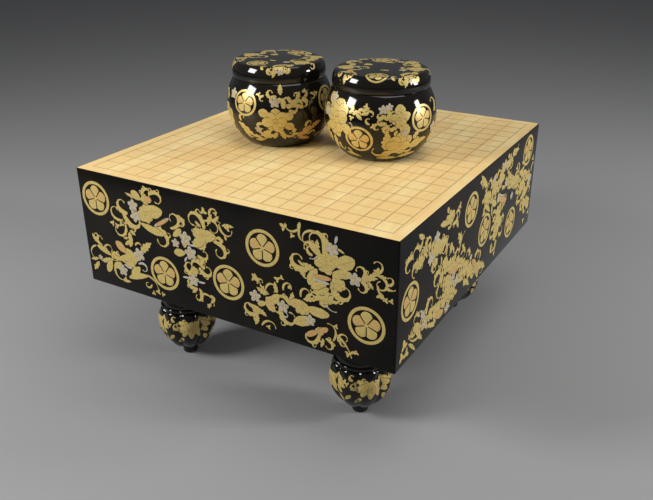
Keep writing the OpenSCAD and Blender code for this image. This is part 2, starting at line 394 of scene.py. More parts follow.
# half a cosine wave from one radius to another, climbing evenly
def blendPoints(r0, z0, r1, z1, steps):
    t = np.linspace(0, 1, steps)
    return np.stack([r0 + (r1 - r0) * (1 - np.cos(np.pi * t)) / 2, z0 + (z1 - z0) * t], axis=1)


def legOutline():
    s = legShape
    foot = arcPoints(s["footRadius"] - s["footRound"], s["footRound"], s["footRound"], -90, 0, 8)
    instepHeight = s["underHeight"] - s["instep"]
    instep = arcPoints(s["footRadius"] + s["instep"], instepHeight, s["instep"], 180, 90, 6)
    # the under edge is a small arc inside the belly's lower arc, touching it and the flat underside
    span = s["lowCurve"] - s["underRound"]
    underTurn = np.arcsin((s["underHeight"] + s["underRound"] - s["bellyHeight"]) / span)
    underAxis = s["belly"] - s["lowCurve"] + span * np.cos(underTurn)
    underDegrees = np.degrees(underTurn)
    under = arcPoints(underAxis, s["underHeight"] + s["underRound"], s["underRound"], -90, underDegrees, 8)
    low = arcPoints(s["belly"] - s["lowCurve"], s["bellyHeight"], s["lowCurve"], underDegrees, 0, 24)[1:]
    highRise = s["shoulderRise"] - s["shoulderRound"] - s["grooveDrop"]
    highDegrees = np.degrees(np.arcsin(highRise / s["highCurve"]))
    high = arcPoints(s["belly"] - s["highCurve"], s["bellyHeight"], s["highCurve"], 0, highDegrees, 14)[1:]
    ridgeAxis = s["shoulder"] - s["shoulderRound"]
    groove = [[ridgeAxis + s["grooveOut"], ridgeHeight - s["shoulderRound"] + s["grooveRise"]]]
    ridge = arcPoints(ridgeAxis, ridgeHeight, s["shoulderRound"], *s["ridgeDegrees"], 10)
    ridgeTop, padLow = ridgeHeight + s["shoulderRound"], boardBottom - s["padHeight"]
    neckHeight = (ridgeTop + padLow) / 2
    neck = blendPoints(ridgeAxis, ridgeTop, s["neck"], neckHeight, 12)
    flare = blendPoints(s["neck"], neckHeight + s["neckStep"], s["pad"], padLow, 10)
    pad = arcPoints(s["pad"] - s["padRound"], boardBottom - s["padRound"], s["padRound"], 0, 90, 4)
    return np.concatenate([foot, instep, under, low, high, groove, ridge, neck, flare, pad])


# radius and height of a leg, by row of the outline and by turn: the lobes are a power of a cosine, and the
# ridge waves with them inside a bell about its height
def legGrid(turn):
    s = legShape
    outline = legOutline()
    r, z = outline[:, :1], outline[:, 1:]
    crest = np.abs(np.cos(s["lobes"] * turn / 2)) ** s["lobePower"]
    outward = np.clip((r - s["footRadius"] - s["instep"]) / s["valleyFade"], 0, 1)
    fall = np.clip((ridgeHeight + s["valleyTop"] - z) / s["valleyFade"], 0, 1)
    radius = r - s["valley"] * outward * fall * (1 - crest)
    near = np.exp(-((z - ridgeHeight + s["waveDrop"]) / s["waveReach"]) ** 2)
    height = z + s["wave"] * near * (crest - 0.5)
    return radius, height


# a node's words run together, as in legFrontLeft
def pieceName(node):
    first, *others = node.split("_")
    return first + "".join(word.title() for word in others)


def buildLeg(node):
    s = legShape
    turn = np.linspace(0, 2 * np.pi, s["around"], endpoint=False) + np.pi / s["around"]
    radius, height = legGrid(turn)
    square = s["tenonHalf"] / np.maximum(np.abs(np.cos(turn)), np.abs(np.sin(turn)))
    radius = np.concatenate([radius, square[None], square[None]])
    tenon = np.array([[boardBottom], [boardBottom + s["tenonLength"]]]) + 0 * turn
    grid = aroundAxis(footOf(node), radius, turn, np.concatenate([height, tenon]))
    faces = sleeveFaces(len(grid), s["around"])
    piece = addPiece(pieceName(node), grid, faces, lacquerFinish, "board", "black_lacquer")
    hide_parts(node)


legNodes = [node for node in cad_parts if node.startswith("leg_")]
for node in legNodes:
    buildLeg(node)
print("legs turned:", len(legNodes))

# Bowls and lids: turned outlines with softened edges, in mm above the bowl's base
bowlShape = {
    "belly": 68.0, "bellyHeight": 50.0, "curve": 63.0,
    "wall": 7.0,
    "footRound": 1.4, "footDegrees": -40, "footTop": 1.2, "footInset": 6.0,
    "rimHeight": 84.0, "rimRadius": 58.04, "rimInset": 0.1, "rimDrop": 0.6,
    "lipRadius": 53.29, "lipTop": 90.0, "mouth": 48.79,
    "floorRound": 3.0, "floorRise": 1.5,
    "edge": 0.5,
    "hub": 3.0, "around": 144,
}
lidShape = {
    "low": 84.1, "high": 104.1,
    "side": 59.7, "sideHeight": 90.0, "sideCurve": 23.0, "sideDegrees": 31.0,
    "edgeRound": 3.6, "edgeStep": 6, "edgeDegrees": 86,
    "socket": 53.59, "socketTop": 90.3, "hollow": 98.1, "hollowRadius": 48.79, "hollowRound": 2.0,
    "edge": 0.5, "footStep": 8,
    "hub": 3.0, "domeHub": 0.06,
}


# the curved side between two heights, moved in by the inset
def bowlSide(low, high, inset, steps):
    s = bowlShape
    radius = s["curve"] - inset
    height = np.linspace(low, high, steps)
    across = s["belly"] - s["curve"] + np.sqrt(radius ** 2 - (height - s["bellyHeight"]) ** 2)
    return np.stack([across, height], axis=1)


# height at which the curved inside meets the mouth
def mouthHeight():
    s = bowlShape
    away = s["mouth"] - s["belly"] + s["curve"]
    return s["bellyHeight"] + np.sqrt((s["curve"] - s["wall"]) ** 2 - away ** 2)


def bowlProfile():
    s = bowlShape
    e, wall, hub = s["edge"], s["wall"], s["hub"]
    base = bowlSide(0, 0, 0, 1)[0, 0]
    foot = arcPoints(base - s["footRound"], s["footRound"], s["footRound"], -90, s["footDegrees"], 5)
    outer = bowlSide(s["footTop"], s["rimHeight"] - s["rimDrop"], 0, 40)
    rim = arcPoints(s["rimRadius"] - e - s["rimInset"], s["rimHeight"] - e, e, 10, 90, 4)
    lip = [[s["lipRadius"], s["rimHeight"]], [s["lipRadius"], s["lipTop"] - e]]
    lipOut = arcPoints(s["lipRadius"] - e, s["lipTop"] - e, e, 20, 90, 4)
    lipIn = arcPoints(s["mouth"] + e, s["lipTop"] - e, e, 90, 180, 5)
    inner = bowlSide(mouthHeight(), wall + s["floorRise"], wall, 26)
    floorEdge = bowlSide(wall, wall, wall, 1)[0, 0] - s["floorRound"]
    under, floor = [[hub, 0], [base - s["footInset"], 0]], [[floorEdge, wall], [hub, wall]]
    return np.concatenate([under, foot, outer, rim, lip, lipOut, lipIn, inner, floor])


# a lid's inside, its foot and its outside, from the middle of the hollow round to the middle of the top
def lidParts():
    s = lidShape
    e, soft = s["edge"], s["hollowRound"]
    hollow = [[s["hub"], s["hollow"]], [s["hollowRadius"] - soft, s["hollow"]],
              [s["hollowRadius"], s["hollow"] - soft], [s["hollowRadius"], s["socketTop"]]]
    socket = [[s["socket"], s["socketTop"]], [s["socket"], s["low"]]]
    # the side swells on one wide arc, and a small arc that touches it rounds over to the domed top
    sideAxis, lean = s["side"] - s["sideCurve"], np.radians(s["sideDegrees"])
    dip = np.degrees(np.arcsin((s["sideHeight"] - s["low"] - e) / s["sideCurve"]))
    barrel = arcPoints(sideAxis, s["sideHeight"], s["sideCurve"], -dip, s["sideDegrees"], 22)
    foot = arcPoints(barrel[0, 0] - e, s["low"] + e, e, -90, -dip - s["footStep"], 4)
    reach = s["sideCurve"] - s["edgeRound"]
    edgeAxis, edgeHeight = sideAxis + reach * np.cos(lean), s["sideHeight"] + reach * np.sin(lean)
    edgeFrom = s["sideDegrees"] + s["edgeStep"]
    edge = arcPoints(edgeAxis, edgeHeight, s["edgeRound"], edgeFrom, s["edgeDegrees"], 10)
    domeFoot, domeLow = edge[-1]
    out = np.linspace(1, s["domeHub"], 14)[1:]
    dome = np.stack([out * domeFoot, domeLow + (s["high"] - domeLow) * (1 - out ** 2)], axis=1)
    return np.concatenate([hollow, socket]), foot, np.concatenate([barrel, edge, dome])


def addTurned(name, profile, node, foot):
    steps = bowlShape["around"]
    grid, faces = turnedGrid(profile, foot, steps), sleeveFaces(len(profile), steps)
    piece = addPiece(name, grid, faces, lacquerFinish, node + "_body", "black_lacquer")
    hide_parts(node)


for side in ("left", "right"):
    bowlFoot = footOf(side + "_bowl")
    addTurned(side + "Bowl", bowlProfile(), side + "_bowl", bowlFoot)
    addTurned(side + "Lid", np.concatenate(lidParts()), side + "_lid", bowlFoot)
print("bowls and lids turned")

# Stones: lenses that lie flat in close-packed layers, each layer in the hollows of the one below, in mm
stoneShape = {
    "across": 22.0, "thick": 7.0, "gap": 0.3,
    "rings": (0.35, 0.8, 1.0, 0.8, 0.35), "around": 14, "sharpDegrees": 80,
    "black": 181, "white": 180,
    "seed": 5, "grainShift": 900,
}


# radius of two balls that cross in a lens of that width and thickness
def ballRadius():
    return (stoneShape["across"] ** 2 / stoneShape["thick"] + stoneShape["thick"]) / 4


# a triangular lattice in each layer; stones of two layers touch where their balls' centres are two ball
# radii apart
def stonePlaces():
    s, b = stoneShape, bowlShape
    pitch = s["across"] + s["gap"]
    hollowStep = pitch / np.sqrt(3)
    ball = ballRadius()
    rise = np.sqrt(4 * ball ** 2 - hollowStep ** 2) - 2 * ball + s["thick"] + s["gap"]
    first = b["wall"] + s["gap"] + s["thick"] / 2
    layers = np.arange(int((b["rimHeight"] - first - s["thick"]) // rise) + 1)
    reach = int(np.ceil(2 * b["belly"] / pitch))
    rows = np.arange(-reach, reach + 1)
    layer, row, column = np.meshgrid(layers, rows, rows, indexing="ij")
    x = (column + row / 2) * pitch
    y = row * pitch * np.sqrt(3) / 2 + (layer % 2) * hollowStep
    z = first + layer * rise
    inner = b["curve"] - b["wall"]
    room = b["belly"] - b["curve"] + np.sqrt(inner ** 2 - (z - b["bellyHeight"]) ** 2)
    room = np.where(z > mouthHeight(), np.minimum(room, b["mouth"]), room)
    fits = np.hypot(x, y) + s["across"] / 2 + s["gap"] < room
    return np.stack([x[fits], y[fits], z[fits]], axis=1)


# a lens is where two balls cross: rings of falling radius below and above its edge
def stoneLens():
    s = stoneShape
    radius = np.array(s["rings"]) * s["across"] / 2
    rise = np.sqrt(ballRadius() ** 2 - radius ** 2) - ballRadius() + s["thick"] / 2
    side = np.sign(np.arange(len(radius)) - len(radius) // 2)
    return turnedGrid(np.stack([radius, side * rise], axis=1), (0, 0, 0), s["around"]).reshape(-1, 3)


def addStones(side, kind, finish, slotName):
    s = stoneShape
    count = s[kind]
    draw = np.random.default_rng(s["seed"])
    lens = stoneLens()
    points = (footOf(side + "_bowl") + stonePlaces()[:count] * mm)[:, None, :] + lens
    # each stone is cut its own way from the shell, so its growth lines run at a turn of their own
    turn, shift = draw.uniform(0, 2 * np.pi, (count, 1)), draw.uniform(0, s["grainShift"], (count, 1))
    grain = (lens[:, 0] * np.cos(turn) + lens[:, 1] * np.sin(turn)) / mm + shift
    shade = np.repeat(draw.uniform(0, 1, count), len(lens))
    faces = []
    for k in range(count):
        faces += sleeveFaces(len(s["rings"]), s["around"], k * len(lens))
    marks = {"grain": grain.ravel(), "shade": shade}
    body = side + "_bowl_body"
    piece = addPiece(kind + "Stones", points, faces, finish, body, slotName, marks, s["sharpDegrees"])
    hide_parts(kind + "_stones")


addStones("left", "black", slateFinish, "slate")
addStones("right", "white", shellFinish, "shell")
print("stones laid:", stoneShape["black"], "black and", stoneShape["white"], "white")

# Ornament kit: every motif is made of strokes, each a raised band with a dark outline along a path, in mm
ornament = {
    "relief": 0.2, "sink": 0.06, "bevel": 0.03, "crown": 0.04,
    "leastHalf": 0.08,
    # widest rims, the share of half the width that a rim may take, and the share of a rim that is its slope
    "rim": 1.3, "fineRim": 0.45, "rimShare": 0.3, "slopeShare": 0.1,
    # strokes that cross lie at slightly different heights
    "stackStep": 0.004, "stackCount": 13,
    "layer": {"curl": 0.0, "leaf": 0.05, "petal": 0.12, "warmPetal": 0.22, "blossom": 0.3},
    "sharpDegrees": 25,
}


# a path whose heading turns by a power of the distance run, so that it curls up towards its end
def curlPath(x, y, heading, length, turn, tighten, steps):
    run = np.linspace(0, 1, steps)
    middle = (run[1:] + run[:-1]) / 2
    bearing = np.radians(heading + turn * middle ** tighten)
    stride = length / (steps - 1)
    step = np.stack([np.cos(bearing), np.sin(bearing)], axis=1) * stride
    return np.concatenate([[[0, 0]], np.cumsum(step, axis=0)]) + (x, y)


# seven points lie across a stroke: its crown in the middle, and on either side the rim's inner edge, its
# shoulder and its foot
def stroke(spray, path, halfWidth, metal="gold", tone=0.0, lift=0.0, loop=False, vein=0.0, rim="rim"):
    o = ornament
    if loop:
        along = np.roll(path, -1, axis=0) - np.roll(path, 1, axis=0)
    else:
        along = np.gradient(path, axis=0)
    along = along / np.linalg.norm(along, axis=1, keepdims=True)
    left = np.stack([-along[:, 1], along[:, 0]], axis=1)
    # one half width serves both sides, or two are given, for the left and the right of the path
    halves = np.maximum(np.broadcast_to(halfWidth, (2, len(path))), o["leastHalf"])
    band = np.minimum(o[rim], o["rimShare"] * halves)
    shoulder, inner = halves - o["slopeShare"] * band, halves - band
    lift = lift + o["stackStep"] * (len(spray[metal]) % o["stackCount"])
    zero = np.zeros(len(path))
    across = np.stack([halves[0], shoulder[0], inner[0], zero, -inner[1], -shoulder[1], -halves[1]], axis=1)
    low, top = zero - o["sink"], zero + o["relief"] + lift
    bevel, crown = top - o["bevel"], top + o["crown"]
    height = np.stack([low, bevel, top, crown, top, bevel, low], axis=1)
    flat = path[:, None, :] + left[:, None, :] * across[:, :, None]
    grid = np.concatenate([flat, height[:, :, None]], axis=2)
    rimMark = np.tile([1.0, 1.0, 0, 0, 0, 1.0, 1.0], len(path))
    veinMark = np.tile([0, 0, 0, vein, 0, 0, 0], len(path))
    spray[metal].append((grid, loop, rimMark, veinMark, np.full(rimMark.size, tone)))


# a blade on a path that bends evenly: half its width is a sine that leans to one end, blunted by a power; a
# form is that lean, that power, the bend in degrees and the number of points
def blade(spray, x, y, heading, length, half, form, edge=1.0, **looks):
    lean, blunt, bend, steps = form
    sine = np.sin(np.pi * np.linspace(0, 1, steps) ** lean)
    stroke(spray, curlPath(x, y, heading, length, bend, 1, steps), half * sine ** blunt * edge, **looks)


# a round eye: a straight blade as wide as it is long
def eye(spray, x, y, radius, steps, **looks):
    blade(spray, x - radius, y, 0, 2 * radius, radius, (1, 0.5, 0, steps), **looks)


# a scroll: a crescent, stout near its root, that thins and hooks round to a small bulb; the stouter ones
# are scalloped along their outer edge and grow two fine barbs there
curlForm = {
    "steps": 33, "tighten": 1.6, "turnGain": 1.08, "widthGain": 1.05,
    "scallopFrom": 1.3, "scallops": 8, "scallopLow": 0.76, "scallopRise": 0.44,
    "barbFrom": 1.7, "barbSteps": 13, "barbLean": 42, "barbTurn": 250, "barbTighten": 1.5,
    "barbWidth": 0.3, "barbLift": 0.02,
    # step at which a barb grows, and its length as a share of the scroll's
    "barbs": ((5, 0.30), (13, 0.26)),
}


def curl(spray, x, y, heading, length, turn, width, metal="gold"):
    f = curlForm
    turn, tighten = f["turnGain"] * turn, f["tighten"]
    path = curlPath(x, y, heading, length, turn, tighten, f["steps"])
    run = np.linspace(0, 1, f["steps"])
    level = ornament["layer"]["curl"]
    looks = {"metal": metal, "rim": "fineRim"}
    body = hookWidth(run, f["widthGain"] * width)
    outer = body
    if width > f["scallopFrom"]:
        outer = body * (f["scallopLow"] + f["scallopRise"] * np.abs(np.sin(f["scallops"] * np.pi * run)))
    bend = int(np.sign(turn))
    stroke(spray, path, (body, outer)[::bend], lift=level, **looks)
    if width < f["barbFrom"]:
        return
    steps, barbTurn = f["barbSteps"], -f["barbTurn"] * bend
    barbHalf = hookWidth(np.linspace(0, 1, steps), f["barbWidth"] * width)
    for row, reach in f["barbs"]:
        bearing = heading + turn * run[row] ** tighten - f["barbLean"] * bend
        barb = curlPath(*path[row], bearing, reach * length, barbTurn, f["barbTighten"], steps)
        stroke(spray, barb, barbHalf, lift=level + f["barbLift"], **looks)


# half the width along a hook: a root that falls away as a square, a sine that swells in the first third, a
# bell-shaped bulb near the end, and a straight taper at the very end
hookForm = {
    "least": 0.34, "root": 0.45, "swell": 0.9, "swellLean": 0.54, "swellPower": 1.9,
    "bulbGrow": 0.16, "bulbLeast": 0.3, "bulbMost": 0.75, "bulbAt": 0.95, "bulbReach": 0.045,
    "taperFrom": 1.01, "taperReach": 0.04, "taperEnd": 0.1,
}


def hookWidth(run, width):
    f = hookForm
    sine = np.sin(np.pi * run ** f["swellLean"]) ** f["swellPower"]
    swell = width * (f["root"] * (1 - run) ** 2 + f["swell"] * sine)
    bell = np.exp(-((run - f["bulbAt"]) / f["bulbReach"]) ** 2)
    bulb = min(f["bulbGrow"] * width + f["bulbLeast"], f["bulbMost"]) * bell
    return (f["least"] + swell + bulb) * np.clip((f["taperFrom"] - run) / f["taperReach"], f["taperEnd"], 1)


# a petal: a blade that broadens to a blunt round end, with shallow notches
petalForm = {
    "blade": (1.15, 0.5, 14), "widthGain": 1.1, "notches": 3, "notchDepth": 0.06,
    "warmFrom": 0.4, "rankLift": 0.03,
}


def petal(spray, x, y, heading, length, width, tone=0.0, metal="gold", rank=0, steps=17):
    f = petalForm
    edge = 1 - f["notchDepth"] * np.sin(f["notches"] * np.pi * np.linspace(0, 1, steps)) ** 2
    level = ornament["layer"]["warmPetal" if tone > f["warmFrom"] else "petal"] + f["rankLift"] * rank
    looks = {"metal": metal, "tone": tone, "lift": level, "vein": 1.0}
    blade(spray, x, y, heading, length, f["widthGain"] * width, (*f["blade"], steps), edge, **looks)


# a frond: short petals in pairs along a bending stem, longest in the middle, and one petal at its tip
frondForm = {
    "pairsPerLength": 0.72, "bend": 14, "stem": 0.8, "steps": 9,
    "reach": 1.1, "reachSwell": 0.5, "openDegrees": 52, "closeDegrees": 14, "petalHalf": 0.31,
    "tipPerLength": 0.2, "tipPerWidth": 0.6, "tipHalf": 0.5,
}


def frond(spray, x, y, heading, length, width):
    f = frondForm
    bend, steps = f["bend"], f["steps"]
    pairs = int(np.ceil(f["pairsPerLength"] * length / width))
    stem = curlPath(x, y, heading, f["stem"] * length, bend, 1, pairs + 1)
    for k in range(pairs):
        run = k / pairs
        reach = width * (f["reach"] + f["reachSwell"] * np.sin(np.pi * run))
        for side in (-1, 1):
            bearing = heading + bend * run + side * (f["openDegrees"] - f["closeDegrees"] * run)
            petal(spray, *stem[k], bearing, reach, f["petalHalf"] * reach, rank=k % 3, steps=steps)
    tip = f["tipPerLength"] * length + f["tipPerWidth"] * width
    petal(spray, *stem[-1], heading + bend, tip, f["tipHalf"] * width, rank=2, steps=steps)


# a leaf: pointed at both ends, with rounded teeth along its edges
leafForm = {"blade": (0.85, 0.75, -18, 21), "widthGain": 1.2, "teeth": 4, "toothDepth": 0.18}


def leaf(spray, x, y, heading, length, width, tone=0.0):
    f = leafForm
    run = np.linspace(0, 1, f["blade"][-1])
    edge = 1 - f["toothDepth"] * (1 - np.cos(2 * np.pi * f["teeth"] * run))
    looks = {"tone": tone, "lift": ornament["layer"]["leaf"], "vein": 1.0}
    blade(spray, x, y, heading, length, f["widthGain"] * width, f["blade"], edge, **looks)


# a peony: seven broad petals packed round a warmer heart, every second one shorter
peonyForm = {
    "petals": 7, "reach": (1.0, 0.86), "twist": -7, "petalHalf": 0.40, "steps": 11,
    "heartReach": 0.25, "heartHalf": 0.2, "heartTone": 0.5,
}


def peony(spray, x, y, radius, heading=90.0):
    f = peonyForm
    for k in range(f["petals"]):
        bearing, reach = heading + 360 / f["petals"] * k + f["twist"], radius * f["reach"][k % 2]
        petal(spray, x, y, bearing, reach, f["petalHalf"] * radius, rank=k % 3, steps=f["steps"])
    heart = f["heartReach"] * radius
    petal(spray, x - heart, y, 0, 2 * heart, f["heartHalf"] * radius, f["heartTone"])


# a small flower: five silver petals, each with a gold tongue, about a gold eye
blossomForm = {
    "petals": 5, "petalHalf": 0.37, "petalBlade": (1.3, 0.6, 0, 9),
    "tongueFrom": 0.3, "tongue": 0.5, "tongueHalf": 0.15, "tongueBlade": (1, 0.6, 0, 7), "tongueLift": 0.06,
    "eye": 0.2, "eyeSteps": 7, "eyeTone": 0.6, "eyeLift": 0.1,
}


def blossom(spray, x, y, radius, heading=18.0):
    f = blossomForm
    level = ornament["layer"]["blossom"]
    petals = (radius, f["petalHalf"] * radius, f["petalBlade"])
    tongue = (f["tongue"] * radius, f["tongueHalf"] * radius, f["tongueBlade"])
    for k in range(f["petals"]):
        bearing = heading + 360 / f["petals"] * k
        blade(spray, x, y, bearing, *petals, metal="silver", lift=level, rim="fineRim")
        root = curlPath(x, y, bearing, f["tongueFrom"] * radius, 0, 1, 2)[1]
        blade(spray, *root, bearing, *tongue, lift=level + f["tongueLift"], rim="fineRim")
    looks = {"tone": f["eyeTone"], "lift": level + f["eyeLift"], "rim": "fineRim"}
    eye(spray, x, y, f["eye"] * radius, f["eyeSteps"], **looks)


# a sprig: three small round lobes at the end of a tendril
sprigForm = {
    "half": 0.38, "blade": (0.7, 0.6, 25, 9),
    # bearing of each lobe, and its size
    "lobes": ((0, 1.0), (105, 0.85), (-105, 0.85)),
}


def sprig(spray, x, y, radius, heading=90.0):
    f = sprigForm
    looks = {"lift": ornament["layer"]["leaf"], "rim": "fineRim"}
    for bearing, size in f["lobes"]:
        reach = radius * size
        blade(spray, x, y, heading + bearing, reach, f["half"] * reach, f["blade"], **looks)


# a roundel: a ring round a flower of five broad petals, each a wedge that ends in a half circle; its
# lengths are shares of its radius
roundelForm = {
    "ring": 0.905, "ringHalf": 0.095, "ringSteps": 64,
    "petals": 5, "petalFrom": 0.06, "petalTo": 0.755, "wedge": 0.70, "seam": 0.02,
    "bulgeAt": 0.425, "bulge": 0.33, "steps": 19, "petalLift": 0.03, "warmTone": 0.5,
    "eye": 0.11, "eyeSteps": 9, "eyeLift": 0.08,
}


def roundel(spray, x, y, radius):
    f = roundelForm
    turn = np.linspace(0, 2 * np.pi, f["ringSteps"], endpoint=False)
    middle, bulge = f["ring"] * radius, f["bulge"]
    ring = np.stack([x + middle * np.cos(turn), y + middle * np.sin(turn)], axis=1)
    stroke(spray, ring, f["ringHalf"] * radius, loop=True, rim="fineRim")
    away = np.linspace(f["petalFrom"], f["petalTo"], f["steps"])
    beyond = np.clip(away - f["bulgeAt"], 0, bulge)
    half = radius * np.minimum(f["wedge"] * away - f["seam"], np.sqrt(bulge ** 2 - beyond ** 2))
    for k in range(f["petals"]):
        bearing = np.radians(360 / f["petals"] * k + 90)
        path = np.array([x, y]) + radius * away[:, None] * np.array([np.cos(bearing), np.sin(bearing)])
        stroke(spray, path, half, tone=f["warmTone"] * (k % 3 == 1), lift=f["petalLift"], rim="fineRim")
    eye(spray, x, y, f["eye"] * radius, f["eyeSteps"], lift=f["eyeLift"])


motifs = {draw.__name__: draw for draw in (curl, petal, frond, leaf, peony, blossom, sprig, roundel)}


# draws a layout's rows: a kind that starts with silver is that motif in silver
def drawSpray(layout, shift=(0, 0), spray=None):
    spray = spray or {"gold": [], "silver": []}
    for kind, items in layout.items():
        metal = {"metal": "silver"} if kind.startswith("silver") else {}
        draw = motifs[kind.replace("silver", "").lower()]
        for x, y, *rest in items:
            draw(spray, x + shift[0], y + shift[1], *rest, **metal)
    return spray


# lays a spray's strokes on a surface: the place function takes sheet x, y and height in mm to metres
def laySpray(name, spray, place, body):
    for metal, strokes in spray.items():
        if not strokes:
            continue
        grids, loops, *marks = zip(*strokes)
        marks = dict(zip(("rim", "vein", "tone"), map(np.concatenate, marks)))
        points = np.concatenate([grid.reshape(-1, 3) for grid in grids])
        faces, start = [], 0
        for grid, loop in zip(grids, loops):
            rows, count = grid.shape[:2]
            faces += sleeveFaces(rows, count, start, loop)
            start += rows * count
        placed = place(*points.T)
        looks = (powderFinishes[metal], body, metal + "_powder", marks, ornament["sharpDegrees"])
        addPiece(name + metal.title(), placed, faces, *looks)


# Layouts: a row holds what its motif takes after the spray, from x and y on, in mm and degrees

